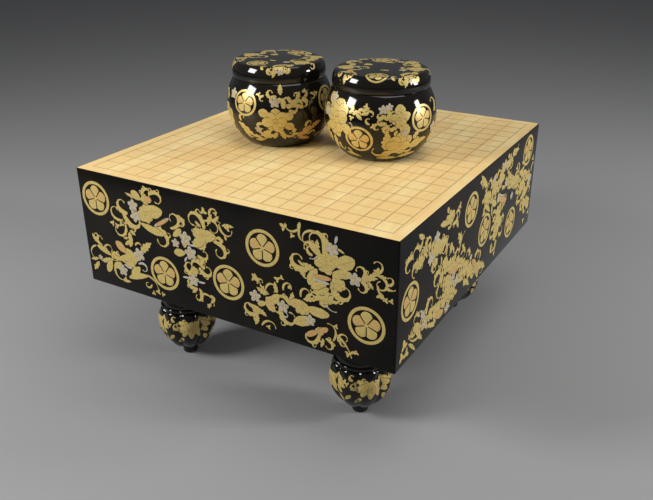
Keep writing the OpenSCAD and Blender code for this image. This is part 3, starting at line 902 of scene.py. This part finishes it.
# Front and back of the board, in mm from the face's lower left corner
longSpray = {
    "roundel": [
        (26.5, 115, 21.7), (124.5, 39.5, 21.7), (218, 52, 21.7), (266, 105.5, 21.7), (390.5, 48, 21.7),
    ],
    "peony": [
        (343, 107, 13.5), (358, 86, 9, 40), (314, 47, 10, 20), (336, 25, 6, 70), (104, 111, 12),
        (70, 43, 11.5, 60), (184, 101, 11.5, 30), (170, 54, 6.5), (255, 28, 6, 10), (274, 44, 7, 50),
        (106, 129, 7), (30, 48, 5, 80),
    ],
    "curl": [
        # upper left cluster
        (102, 133, 85, 26, -230, 1.9), (112, 136, 40, 36, -250, 2.0), (76, 106, 184, 36, -240, 2.5),
        (66, 95, 190, 38, -235, 1.4), (70, 92, -80, 46, -280, 1.5), (70, 104, -70, 50, 255, 3.0),
        (114, 95, 8, 52, -270, 2.8), (140, 101, 10, 44, 290, 1.7), (82, 66, 60, 17, -200, 1.0),
        # lower left cluster
        (27, 53, 165, 26, -245, 1.8), (29, 46, 85, 25, -190, 1.1), (54, 45, 150, 28, 250, 2.0),
        (16, 51, 200, 24, 120, 1.0), (45, 33, 250, 36, 175, 1.2), (96, 30, -15, 23, -70, 1.0),
        (102, 19, 250, 20, -260, 1.0), (20, 60, 60, 15, 215, 1.0),
        # upper middle cluster
        (189, 110, 92, 49, 262, 2.4), (190, 120, 30, 40, -265, 1.0), (199, 126, 110, 25, -250, 1.2),
        (210, 121, -80, 29, 170, 1.1), (201, 98, 0, 46, -300, 2.3), (213, 99, 110, 17, 230, 1.7),
        (186, 98, -75, 26, -215, 2.8), (183, 109, 185, 25, 235, 1.7), (151, 116, 8, 22, -225, 2.0),
        (177, 76, -40, 27, 235, 1.9),
        # lower middle cluster
        (185, 60, 120, 36, 240, 2.5), (173, 50, 195, 36, -245, 2.5), (178, 61, -65, 34, 258, 2.4),
        (173, 32, 195, 31, -250, 2.1), (176, 28, -60, 23, -260, 1.7), (177, 27, 14, 27, -120, 1.0),
        (200, 124, 12, 13, -50, 1.0),
        # lower right cluster
        (272, 52, 150, 22, -60, 1.0), (258, 61, 100, 15, -215, 1.0), (268, 57, 75, 27, -225, 1.0),
        (257, 24, 215, 39, -268, 2.1), (257, 14, 200, 13, -220, 1.2), (261, 10, 60, 27, -150, 1.1),
        (291, 62, 95, 23, -215, 1.0), (299, 46, 110, 29, 235, 2.3), (288, 43, -105, 51, 283, 2.6),
        (313, 60, 100, 25, -220, 1.0), (324, 59, 120, 15, -250, 0.9), (335, 21, -95, 39, -262, 2.0),
        (343, 18, -10, 25, -240, 1.7), (352, 18, 60, 27, 130, 1.0), (358, 19, 95, 25, -230, 1.1),
        (357, 27, -40, 30, -35, 1.1), (361, 23, 250, 17, 240, 1.0),
        # upper right cluster
        (341, 117, 70, 46, 235, 3.2), (333, 116, 105, 27, 195, 2.4), (328, 112, 170, 19, -235, 1.4),
        (332, 139, 178, 32, 165, 1.0), (312, 138, 225, 23, -140, 1.0), (322, 95, 203, 45, -268, 3.0),
        (318, 92, 240, 16, 220, 1.2), (350, 84, -75, 46, 255, 2.8), (343, 79, -88, 38, 238, 2.6),
        (344, 80, 175, 15, 230, 1.2), (339, 72, 195, 18, 205, 1.5), (340, 66, 205, 20, -120, 1.8),
        (336, 61, -60, 18, 225, 1.2), (384, 98, 45, 28, 235, 1.9), (382, 98, -18, 27, -238, 2.0),
        (396, 109, 5, 29, 230, 1.2), (399, 108, 0, 42, -330, 1.3), (411, 100, 0, 19, 230, 1.2),
        (410, 97, -25, 12, 60, 1.4), (313, 138, 252, 19, 125, 1.0), (402, 97, -84, 17, 75, 1.0),
    ],
    "petal": [
        (97, 114, 2, 34, 8.2), (115, 106, 175, 25, 5.8), (95, 98, -20, 36, 5.0), (99, 127, 142, 16, 5.4),
        (104, 130, -6, 12, 4.6, 1.0), (119, 101, 22, 20, 2.6, 1.0), (52, 42, 6, 34, 7.0),
        (66, 52, 135, 20, 5.8, 0.8), (60, 57, -22, 20, 5.4), (98, 29, 190, 34, 4.4), (86, 38, 222, 22, 5.8),
        (40, 36, 236, 20, 5.0), (40, 43, 152, 24, 4.2), (143, 92, 35, 17, 4.2), (174, 103, -4, 31, 7.2),
        (190, 99, 208, 22, 6.0), (159, 81, 85, 12, 4.0, 0.6), (159, 74, 183, 17, 5.2),
        (286, 55, 222, 18, 5.2), (268, 45, -55, 17, 5.4), (335, 98, 36, 30, 8.0), (354, 107, 20, 25, 8.2),
        (366, 88, 190, 18, 6.8), (333, 98, 238, 23, 5.8), (328, 90, -6, 22, 3.2, 1.0),
        (322, 51, 178, 25, 6.0, 0.3), (318, 49, -10, 30, 6.2), (331, 36, 192, 30, 6.4),
        (334, 24, 205, 18, 3.8, 0.9), (333, 24, 22, 15, 3.6, 0.9), (338, 112, 128, 21, 4.6),
        (351, 98, 2, 23, 5.4), (56, 36, 205, 16, 4.6), (352, 98, -60, 18, 5.2), (268, 40, 195, 12, 3.8),
        (345, 84, 200, 22, 4.6),
    ],
    "leaf": [
        (96, 128, 178, 21, 2.4), (75, 82, -82, 16, 3.8), (72, 74, 205, 8, 2.0), (90, 58, 52, 25, 5.0),
        (74, 62, 82, 15, 4.0), (17, 34, 205, 14, 2.4), (17, 29, 238, 14, 3.2), (42, 38, 205, 22, 4.2),
        (55, 12, 15, 13, 2.4), (148, 118, 8, 10, 1.8), (214, 120, 14, 16, 2.6), (217, 109, -65, 6, 1.8),
        (185, 112, 152, 10, 2.2), (172, 33, 235, 11, 2.6), (175, 33, -48, 9, 2.2), (190, 28, -8, 8, 1.8),
        (197, 26, 240, 10, 2.4), (191, 18, 238, 9, 2.0), (258, 29, 172, 16, 3.4), (255, 30, -18, 15, 3.4),
        (256, 22, -96, 14, 3.4), (302, 47, 96, 16, 3.8), (318, 97, 152, 10, 1.8), (312, 137, 88, 9, 2.4),
        (356, 126, -14, 10, 1.6), (340, 17, -96, 12, 2.4), (392, 105, 22, 9, 2.2), (390, 99, -38, 11, 2.2),
        (372, 9, 36, 10, 1.8), (297, 66, 50, 6, 2.2), (327, 68, 225, 10, 2.2), (286, 42, 120, 10, 2.4),
        (334, 116, 100, 15, 3.4), (332, 95, 168, 17, 4.2), (331, 90, 248, 15, 4.0), (384, 99, 25, 19, 3.4),
        (347, 79, 214, 24, 4.2), (346, 72, 244, 18, 3.4), (353, 73, 234, 21, 3.4), (58, 42, 186, 18, 4.0),
        (195, 117, 74, 15, 3.2), (203, 121, 58, 12, 2.6), (180, 63, 72, 13, 3.4), (270, 51, 166, 15, 3.6),
        (258, 63, 118, 11, 2.6), (316, 58, 20, 17, 3.4), (330, 62, 35, 14, 3.2), (283, 56, 110, 14, 3.0),
        (76, 84, -18, 10, 2.6), (73, 70, 232, 10, 2.6), (19, 56, 132, 13, 3.0), (404, 90, -44, 9, 2.2),
    ],
    "sprig": [
        (50, 88, 5, 165), (57, 87, 5, 250), (64, 89, 5, 100), (10, 20, 5, 230), (59, 15, 4, 70),
        (104, 8, 4, 200), (111, 11, 5, 60), (118, 10, 4, 0), (190, 131, 6, 90), (206, 132, 4, 40),
        (221, 118, 5, 50), (188, 14, 4, 250), (254, 67, 6, 110), (264, 58, 4, 140), (270, 11, 4, -70),
        (294, 136, 6, 140), (304, 129, 4, 230), (284, 73, 5, 150), (289, 76, 4, 80), (355, 36, 4, 60),
        (370, 8, 5, 250), (379, 12, 4, -30), (401, 112, 5, 60), (408, 107, 4, 10), (405, 86, 5, 200),
        (411, 83, 4, 300), (417, 83, 4, 60),
    ],
    "blossom": [
        (86, 118, 8), (88, 105, 8, 50), (57, 27, 8), (87, 55, 9, 40), (161, 93, 9), (167, 76, 9, 30),
        (146, 84, 6), (168, 42, 8, 90), (254, 45, 8), (351, 124, 8, 45), (377, 97, 8), (290, 42, 8),
        (324, 35, 7, 20), (21, 36, 4),
    ],
    "silverPetal": [
        (116, 99, 24, 27, 3.0), (162, 43, 178, 10, 1.5), (174, 42, -4, 11, 1.5), (165, 86, 2, 12, 1.5),
        (354, 131, 70, 9, 1.8), (328, 86, -12, 20, 2.2), (60, 36, -20, 13, 2.2), (161, 70, 235, 8, 1.6),
    ],
    "silverCurl": [
        (84, 42, 30, 27, -250, 1.2), (170, 91, 5, 20, -70, 0.9), (337, 118, 250, 18, -80, 1.3),
        (288, 33, -60, 14, 220, 1.0), (340, 67, -75, 24, 90, 0.8),
    ],
}

# Right and left of the board, in mm from the face's lower left corner
wideSpray = {
    "roundel": [(30, 71, 21.7), (196, 111.5, 21.7), (250, 65, 21.7), (358, 35, 21.7), (412, 122, 21.7)],
    "peony": [
        (92, 104, 10.5), (108, 102, 10.5, 40), (50, 108, 6.5, 20), (132, 126, 9, 40), (92, 88, 6.5, 20),
        (120, 76, 8.5, 60), (112, 60, 7.5), (140, 64, 10, 30), (132, 48, 7.5), (156, 54, 8, 50),
        (104, 22, 11, 20), (124, 24, 8.5), (86, 30, 6.5, 50), (52, 28, 6.5), (136, 38, 6.5),
        (188, 40, 10.5, 10), (204, 28, 10, 40), (176, 50, 6), (236, 22, 8, 70), (252, 108, 7),
        (276, 112, 10.5, 30), (298, 118, 11), (322, 128, 8, 60), (344, 138, 6), (296, 92, 7.5, 20),
        (300, 66, 10.5, 20), (312, 54, 7.5), (294, 42, 10, 70), (316, 84, 6.5, 40), (352, 94, 7),
        (372, 92, 6, 30), (394, 72, 11, 40), (412, 62, 8.5), (430, 70, 9, 20), (416, 40, 7), (438, 32, 6.5),
    ],
    "curl": [
        (32, 120, 160, 36, 235, 2.8), (47, 108, 166, 30, 185, 2.5), (50, 119, 122, 30, 175, 1.9),
        (38, 108, -36, 42, 195, 3.2), (62, 112, 95, 33, -235, 2.4), (84, 112, 70, 22, -215, 1.6),
        (104, 106, 12, 44, -255, 3.2), (90, 92, 215, 26, 215, 2.4), (108, 88, -60, 20, -200, 1.4),
        (136, 116, -20, 26, 215, 2.0), (144, 126, 20, 24, -220, 1.6), (110, 71, 163, 38, 228, 2.9),
        (109, 56, 215, 27, 150, 1.8), (124, 84, 110, 22, -220, 1.8), (146, 76, 95, 26, 200, 1.6),
        (150, 70, 60, 24, -215, 1.8), (164, 70, 80, 28, -60, 1.3), (170, 64, 40, 22, -200, 1.4),
        (56, 40, 120, 26, 215, 1.8), (75, 33, 96, 38, -240, 2.8), (46, 24, 185, 24, -215, 1.6),
        (58, 15, 178, 36, -70, 1.3), (74, 22, -70, 20, 215, 1.8), (92, 13, -30, 24, 215, 2.0),
        (132, 22, -10, 26, -215, 1.8), (134, 16, -20, 24, 220, 1.4), (150, 30, -25, 30, -235, 2.0),
        (200, 50, 80, 24, 240, 2.0), (176, 40, -80, 24, -215, 2.0), (190, 26, -110, 22, 215, 2.2),
        (212, 20, -60, 20, 215, 2.0), (222, 38, 60, 26, -225, 2.0), (240, 30, 60, 22, 205, 1.5),
        (246, 20, -15, 26, -205, 1.9), (230, 16, -70, 16, 210, 1.6), (250, 112, 150, 26, -215, 2.0),
        (246, 120, 120, 28, 60, 1.3), (248, 102, 215, 28, 235, 2.4), (264, 102, -60, 28, 225, 2.4),
        (280, 100, -70, 26, -220, 2.2), (282, 122, 80, 24, -225, 1.8), (262, 120, 100, 24, 215, 1.8),
        (304, 126, 70, 20, 215, 1.6), (330, 130, 20, 26, -215, 1.8), (346, 134, -10, 24, 120, 1.4),
        (324, 118, -20, 28, -225, 2.2), (306, 104, -40, 26, 210, 2.0), (288, 74, 130, 20, 215, 1.8),
        (284, 44, 200, 20, -215, 1.8), (286, 32, 230, 24, 225, 2.2), (300, 32, -80, 28, -220, 2.4),
        (310, 38, -50, 26, 215, 2.0), (318, 60, -15, 20, -215, 1.8), (318, 74, 10, 26, 200, 1.8),
        (340, 92, 170, 24, -205, 1.6), (360, 98, 60, 26, -210, 1.8), (372, 100, 45, 28, 205, 1.6),
        (380, 90, -40, 24, 215, 1.8), (384, 100, 10, 26, -190, 1.4), (384, 72, 190, 26, -215, 2.2),
        (386, 64, 215, 24, 215, 1.8), (402, 84, 100, 24, -215, 2.0), (414, 82, 40, 30, -150, 1.8),
        (432, 76, 20, 18, -215, 1.6), (434, 62, -10, 16, -215, 1.6), (404, 50, -110, 30, 215, 2.4),
        (420, 36, -95, 24, 220, 2.2), (434, 36, -70, 20, 190, 1.6), (438, 84, 100, 24, -205, 1.6),
    ],
    "frond": [
        (64, 110, -8, 34, 6.4), (78, 104, -10, 40, 7.0), (128, 114, 100, 26, 6.4), (106, 72, -20, 34, 6.4),
        (124, 70, -18, 38, 7.0), (112, 54, -22, 38, 6.2), (168, 48, -24, 40, 7.0), (196, 34, -30, 30, 6.4),
        (224, 24, -22, 30, 5.4), (80, 30, -18, 44, 7.6), (262, 108, 170, 28, 6.4), (266, 108, 0, 44, 8.4),
        (292, 114, 40, 28, 7.2), (340, 120, 122, 26, 6.4), (318, 76, 186, 36, 7.8), (318, 52, 166, 38, 8.2),
        (348, 94, -6, 30, 4.8), (378, 74, 0, 42, 8.6), (424, 50, -60, 26, 5.0), (46, 112, 2, 28, 5.4),
        (41, 33, -36, 28, 4.8), (120, 46, -30, 42, 7.2), (128, 34, -32, 38, 6.6), (110, 33, -16, 30, 5.8),
        (58, 31, -26, 26, 5.8), (150, 60, -22, 34, 5.8), (158, 40, -26, 34, 5.8), (238, 113, -32, 34, 5.8),
        (318, 108, -20, 34, 6.2), (330, 97, -14, 30, 5.8), (352, 90, -16, 34, 5.6), (404, 54, -46, 30, 5.2),
    ],
    "petal": [
        (118, 124, 16, 20, 5.0), (134, 58, -20, 34, 4.6, 1.0), (136, 80, 80, 14, 4.4),
        (212, 40, -46, 20, 4.6, 1.0), (100, 18, -20, 26, 5.4, 0.8), (56, 30, 160, 16, 4.6),
        (120, 32, 20, 22, 5.0), (258, 116, 26, 26, 5.6, 0.5), (294, 92, -28, 36, 4.6, 1.0),
        (300, 36, 70, 22, 5.6), (410, 86, -24, 34, 4.8, 0.5), (396, 56, 4, 36, 6.2, 0.4),
        (268, 98, -38, 24, 4.8),
    ],
    "leaf": [
        (59, 130, 158, 18, 3.6), (100, 128, -8, 28, 4.4), (163, 80, 88, 16, 4.0), (222, 28, -18, 36, 5.0),
        (62, 26, 178, 20, 4.2), (78, 17, -18, 26, 3.6), (50, 22, -34, 22, 3.6), (247, 123, 148, 34, 5.2),
        (346, 139, 2, 20, 3.4), (352, 100, -8, 34, 4.6), (400, 52, 174, 22, 3.0), (424, 46, -12, 24, 4.4),
        (190, 22, -30, 22, 4.0), (300, 60, 200, 22, 4.6), (330, 102, 60, 16, 3.8), (146, 118, -50, 16, 3.4),
        (176, 72, -40, 14, 3.0), (270, 90, -70, 16, 3.2), (386, 96, 30, 18, 3.4), (44, 30, 200, 16, 3.2),
        (47, 118, 62, 14, 3.4), (214, 24, -16, 30, 4.2), (242, 101, -28, 28, 4.2), (378, 101, -20, 32, 4.4),
        (398, 97, -26, 38, 4.6), (336, 110, -30, 26, 4.2), (30, 20, -34, 26, 2.6),
    ],
    "sprig": [
        (155, 130, 6, 60), (160, 92, 6, 110), (167, 86, 5, 60), (175, 73, 5, 20), (236, 10, 6, 280),
        (20, 23, 9, 95), (15, 13, 8, 215), (25, 12, 8, -45), (445, 20, 6, 300), (258, 12, 6, 320),
        (224, 136, 6, 160), (230, 130, 5, 250), (240, 90, 5, 200), (366, 110, 6, 60), (392, 110, 6, 40),
        (440, 102, 6, 60), (298, 14, 5, 270), (424, 14, 6, 260),
    ],
    "blossom": [
        (92, 117, 8), (78, 98, 8, 40), (70, 24, 7), (64, 38, 6, 20), (160, 36, 7), (134, 12, 7),
        (310, 132, 7), (322, 104, 7), (294, 90, 6), (432, 76, 7), (352, 76, 6), (150, 46, 6), (206, 46, 5),
        (272, 124, 6),
    ],
    "silverPetal": [
        (72, 101, -24, 20, 2.8), (58, 47, -56, 26, 2.6), (130, 53, -30, 22, 2.0), (290, 97, -26, 32, 2.8),
        (300, 126, 24, 18, 2.4), (126, 14, -20, 20, 2.2), (150, 36, -20, 18, 2.0), (424, 72, -10, 18, 2.2),
    ],
}


# flat faces of the board: sheet x runs to the viewer's right, y up from the lower edge
def facePlace(right, outward, width, half):
    def place(x, y, h):
        run = (x - width / 2)[:, None] * np.array(right) + (half + h)[:, None] * np.array(outward)
        return (run + np.stack([0 * x, 0 * x, boardBottom + y], axis=1)) * mm
    return place


boardFaces = {
    # side: layout, the way to the viewer's right, the way out, width, distance from the middle
    "front": (longSpray, (1, 0, 0), (0, -1, 0), boardWidth, boardLength / 2),
    "back": (longSpray, (-1, 0, 0), (0, 1, 0), boardWidth, boardLength / 2),
    "right": (wideSpray, (0, 1, 0), (1, 0, 0), boardLength, boardWidth / 2),
    "left": (wideSpray, (0, -1, 0), (-1, 0, 0), boardLength, boardWidth / 2),
}
for side, (layout, *where) in boardFaces.items():
    laySpray(side + "Spray", drawSpray(layout), facePlace(*where), "board")
print("board faces gilded")

# Bowls: sheet x is the distance round at the sheet radius, y the distance up the curved side
bowlSheetRadius = 62.0
rightBowlSpray = {
    "roundel": [(-93, 39.5, 17.0), (-17.5, 63, 16.5)],
    "peony": [(-122, 66, 19), (-46, 34, 17), (-48, 66, 11, 60), (16, 34, 16), (70, 52, 15)],
    "petal": [
        (-48, 66, 80, 17, 6.5), (-45, 62, -72, 17, 6.0), (-44, 68, 20, 9, 4.5), (-132, 76, 120, 16, 6.0),
        (-112, 58, -60, 16, 6.0), (-34, 30, 10, 20, 6.5), (-52, 24, 200, 16, 5.0), (24, 44, 60, 18, 6.0),
    ],
    "leaf": [
        (-62, 26, 96, 24, 5.0), (-58, 40, 120, 12, 3.4), (-73, 11, 8, 30, 3.6), (-44, 12, 16, 30, 4.0),
        (-24, 32, 24, 18, 4.6), (-140, 52, 250, 26, 5.6), (-128, 40, 262, 26, 4.6), (-118, 16, -4, 24, 3.2),
        (14, 16, 20, 30, 4.4), (-30, 40, 60, 14, 3.4), (34, 26, 10, 20, 4.4), (58, 40, 240, 22, 4.4),
        (-57, 70, 128, 13, 3.0), (-62, 62, 196, 11, 2.6), (-96, 71, -34, 10, 2.6), (-88, 74, 40, 9, 2.2),
    ],
    "curl": [
        # tendril beside the large flower
        (-105, 71, 20, 17, 225, 1.6), (-99, 69, 62, 17, -235, 1.6), (-93, 75, 25, 15, -245, 1.4),
        (-89, 72, -15, 16, 235, 1.4), (-82, 75, 5, 11, -170, 1.0),
        # tendril under it, towards the middle
        (-65, 60, 188, 14, -210, 1.3), (-72, 61, 205, 13, 215, 1.3), (-80, 60, 165, 12, -200, 1.1),
        # scrolls left of the tall flower
        (-54, 64, 150, 21, -240, 2.0), (-59, 58, 186, 17, 235, 1.8), (-61, 65, 118, 17, 240, 1.8),
        (-66, 67, 190, 13, -225, 1.4), (-52, 58, 238, 16, -245, 1.8), (-50, 52, 214, 12, 220, 1.3),
        # rest of the bowl
        (-112, 58, -70, 24, 230, 2.0), (-46, 46, 100, 14, -200, 1.3), (-64, 18, 200, 24, -160, 1.6),
        (-146, 60, 120, 28, -220, 1.8), (6, 66, 40, 28, 200, 1.8), (30, 70, -20, 28, -210, 1.6),
        (80, 70, 60, 26, 200, 1.6), (-36, 22, -20, 18, 225, 1.7), (-28, 38, 30, 16, -220, 1.5),
        (-122, 30, 240, 20, 225, 1.6), (-112, 24, -30, 18, -220, 1.4), (-58, 46, 150, 16, -230, 1.6),
    ],
    "sprig": [(-101, 66, 4, 250), (-85, 80, 4, 70), (-76, 58, 4, 200), (-150, 30, 6, 200), (30, 74, 6, 60)],
    "blossom": [(-66, 77, 5.5), (-59, 80, 4.5), (-132, 84, 7), (-42, 49, 5), (4, 48, 7), (54, 66, 7)],
}
leftBowlSpray = {
    "roundel": [(-105, 68, 16.5), (4, 68, 16.5)],
    "peony": [(-67, 48, 16.5), (-142, 44, 17), (36, 40, 17)],
    "petal": [
        (-58, 52, 14, 12, 5.4), (-57, 44, -30, 13, 5.4), (-74, 55, 150, 13, 5.6), (46, 50, 40, 16, 6.0),
    ],
    "leaf": [
        (-60, 80, 100, 14, 3.4), (-40, 24, 34, 22, 4.6, 1.0), (-34, 34, 10, 18, 4.0, 1.0),
        (-38, 22, -8, 22, 3.6, 1.0), (-22, 36, 30, 16, 4.0, 1.0), (-118, 42, -34, 30, 5.2),
        (-112, 36, -62, 20, 4.2), (-98, 26, -20, 16, 3.8), (-84, 24, 20, 18, 4.2), (-128, 24, 190, 24, 4.0),
        (-10, 18, 20, 26, 4.0), (24, 26, 220, 20, 4.2), (-50, 66, 48, 15, 3.4), (-45, 68, -18, 12, 2.8),
        (-41, 73, 78, 11, 2.8), (-35, 76, -30, 10, 2.2), (-62, 36, -58, 17, 3.8), (-72, 36, 222, 19, 4.2),
        (-66, 33, -100, 12, 3.2),
    ],
    "curl": [
        # tendril above the flower, and the leafy one beside it
        (-65, 78, 172, 17, 245, 1.6), (-72, 77, 150, 17, -240, 1.5), (-80, 79, 190, 12, 200, 1.1),
        (-58, 64, 72, 24, 225, 2.4), (-53, 64, 46, 21, -225, 2.0), (-50, 70, 84, 16, 240, 1.7),
        (-45, 70, 34, 18, -235, 1.8), (-40, 75, 60, 14, 240, 1.5), (-36, 73, -8, 18, -230, 1.6),
        (-32, 76, 25, 15, 210, 1.4), (-23, 79, 0, 13, -200, 1.1), (-51, 62, -48, 17, 235, 1.8),
        # rest of the bowl
        (-80, 30, 190, 18, -230, 1.6), (-56, 28, -40, 20, 200, 1.6), (-24, 24, 60, 20, -200, 1.4),
        (-98, 18, -10, 26, 100, 1.3), (-140, 66, 100, 28, 200, 1.8), (30, 64, 120, 26, -210, 1.6),
        (-30, 38, 100, 16, -230, 1.5), (-38, 28, 160, 15, 225, 1.4), (-112, 44, 120, 17, -225, 1.5),
        (-104, 30, 230, 18, 220, 1.6), (-82, 44, 170, 16, 230, 1.6), (-50, 38, -10, 17, -230, 1.7),
    ],
    "sprig": [(-86, 80, 4, 170), (-30, 82, 4, 70), (-15, 78, 4, 10), (-28, 30, 6, 40)],
    "blossom": [(-67, 71, 6.5), (-126, 76, 7), (-88, 36, 5), (20, 58, 6)],
}


def bowlPlace(side):
    foot = footOf(side + "_bowl")
    s = bowlShape
    lowTurn = np.arcsin(-s["bellyHeight"] / s["curve"])

    def place(x, y, h):
        climb = lowTurn + y / s["curve"]
        radius = s["belly"] - s["curve"] + (s["curve"] + h) * np.cos(climb)
        height = s["bellyHeight"] + (s["curve"] + h) * np.sin(climb)
        return aroundAxis(foot, radius, x / bowlSheetRadius, height)
    return place


# Lids: sheet x and y are the distance from the middle, measured over the top and down the side
lidSpray = {
    "peony": [(-38, -18, 12), (42, 6, 12), (24, 40, 10), (-20, 6, 6, 20)],
    "petal": [
        (-34, -6, 120, 14, 4.6), (36, 16, 80, 14, 4.6), (46, -8, -80, 13, 4.6),
        (-28, -36, -70, 12, 4.6, 0.6),
    ],
    "leaf": [
        (-30, -30, -40, 16, 3.6), (-46, 2, 105, 20, 4.0), (42, -14, -105, 18, 4.0), (38, 24, 120, 16, 3.6),
        (6, 46, 170, 16, 3.6), (28, 34, -60, 12, 3.0), (-32, 38, 210, 16, 3.6), (16, -14, 200, 12, 2.6),
        (43, -32, -46, 15, 3.6), (-24, -50, -98, 12, 3.2), (-6, 26, 20, 14, 2.8), (20, 22, 100, 14, 3.0),
    ],
    "curl": [
        (-30, -26, -20, 24, 200, 1.5), (-44, 10, 70, 24, -220, 1.6), (34, 0, 180, 26, -220, 1.6),
        (34, 20, 130, 22, 220, 1.5), (40, -24, -120, 20, 220, 1.5), (-24, -42, 20, 20, -220, 1.4),
        (10, 40, 200, 18, -200, 1.3), (-42, 24, 60, 18, 200, 1.4), (-22, -8, 10, 22, -200, 1.4),
        (46, -22, -60, 20, -210, 1.5), (50, 12, 60, 18, -210, 1.3),
        # over the edge, right and left of the front
        (48, -28, -20, 15, 235, 1.7), (46, -34, -62, 15, -235, 1.6), (40, -40, -80, 14, 225, 1.4),
        (53, -20, -10, 13, -230, 1.5), (44, -28, -44, 17, 225, 1.8), (36, -46, 190, 12, -210, 1.1),
        (-24, -50, -104, 15, 235, 1.6), (-30, -46, -140, 14, -225, 1.5), (-20, -52, -60, 12, 220, 1.2),
    ],
    "blossom": [(-26, -12, 5), (30, -8, 5), (52, -32, 4.5), (12, 36, 5), (-44, 18, 5), (-30, -42, 4)],
    "sprig": [(-12, -49, 4, 200), (32, -42, 4, 20), (-32, 42, 5, 60), (52, 14, 4, 60)],
}
lidRoundel = {"radius": 13.5, "bearing": (0.28, -0.96), "backPlace": (-14, 38)}


def lidPlace(side, turnDegrees):
    foot = footOf(side + "_bowl")
    profile = lidParts()[2][::-1]
    strides = np.linalg.norm(np.diff(profile, axis=0), axis=1)
    reach = np.concatenate([[0], np.cumsum(strides)]) + profile[0, 0]
    slope = np.gradient(profile, axis=0)
    slope /= np.linalg.norm(slope, axis=1, keepdims=True)

    def place(x, y, h):
        away = np.hypot(x, y)
        turn = np.arctan2(y, x) + np.radians(turnDegrees)
        outX, outZ = -np.interp(away, reach, slope[:, 1]), np.interp(away, reach, slope[:, 0])
        radius = np.where(away < reach[0], away, np.interp(away, reach, profile[:, 0])) + h * outX
        height = np.interp(away, reach, profile[:, 1]) + h * outZ
        return aroundAxis(foot, radius, turn, height)
    return place


bowlGilding = {
    # side: layout, turn of the lid's spray in degrees, distance of its front roundel from the middle
    "left": (leftBowlSpray, -24, 40),
    "right": (rightBowlSpray, 4, 48),
}
halfTurn = np.pi * bowlSheetRadius
for side, (layout, lidTurn, away) in bowlGilding.items():
    spray = drawSpray(layout, (halfTurn, 0), drawSpray(layout))
    laySpray(side + "BowlSpray", spray, bowlPlace(side), side + "_bowl_body")
    front = [share * away for share in lidRoundel["bearing"]]
    roundels = [(*spot, lidRoundel["radius"]) for spot in (front, lidRoundel["backPlace"])]
    spray = drawSpray({"roundel": roundels, **lidSpray})
    laySpray(side + "LidSpray", spray, lidPlace(side, lidTurn), side + "_lid_body")
print("bowls and lids gilded")

# Legs: sheet x is the distance round at the sheet radius, y the height above the floor; the spray is
# lifted a little off the lobes and repeated round the leg
legSheet = {"radius": 34.0, "lift": 0.1, "repeats": 4}
legSpray = {
    "petal": [
        (0, 63, 218, 20, 4.0), (1, 64, 238, 24, 4.2), (3, 65, 258, 27, 4.3), (6, 65, -82, 27, 4.3),
        (8, 64, -60, 24, 4.2), (10, 63, -36, 19, 4.0), (4, 60, -94, 15, 2.2, 0.8),
    ],
    "leaf": [(17, 42, -56, 13, 3.2), (-9, 40, 232, 13, 3.2), (-21, 45, 240, 12, 2.8)],
    "curl": [
        (-2, 62, 170, 31, 250, 2.8), (-12, 54, 200, 18, -228, 1.7), (11, 63, 16, 22, -238, 2.3),
        (17, 55, -8, 16, 228, 1.7), (-19, 64, 165, 12, -225, 1.3),
    ],
    "sprig": [(-25, 59, 4, 150), (25, 61, 4, 60)],
}


# a leg's radius is read between the rows and columns of its grid
def legPlace(node):
    foot = footOf(node)
    turnGrid = np.linspace(0, 2 * np.pi, legShape["around"] + 1)
    radiusGrid, heightGrid = legGrid(turnGrid)
    levels = heightGrid.mean(axis=1)

    def place(x, y, h):
        turn = (x / legSheet["radius"]) % (2 * np.pi)
        column = turn / turnGrid[1]
        left = np.minimum(column.astype(int), len(turnGrid) - 2)
        share = column - left
        row = np.clip(np.searchsorted(levels, y) - 1, 0, len(levels) - 2)
        climb = np.clip((y - levels[row]) / np.maximum(levels[row + 1] - levels[row], 1e-6), 0, 1)
        near = radiusGrid[row, left] * (1 - share) + radiusGrid[row, left + 1] * share
        far = radiusGrid[row + 1, left] * (1 - share) + radiusGrid[row + 1, left + 1] * share
        return aroundAxis(foot, near * (1 - climb) + far * climb + h + legSheet["lift"], turn, y)
    return place


legPitch = 2 * np.pi * legSheet["radius"] / legSheet["repeats"]
for node in legNodes:
    spray = None
    for k in range(legSheet["repeats"]):
        spray = drawSpray(legSpray, (legPitch * (k - 0.5), 0), spray)
    laySpray(pieceName(node) + "Spray", spray, legPlace(node), "board")
print("legs gilded")

print("done")
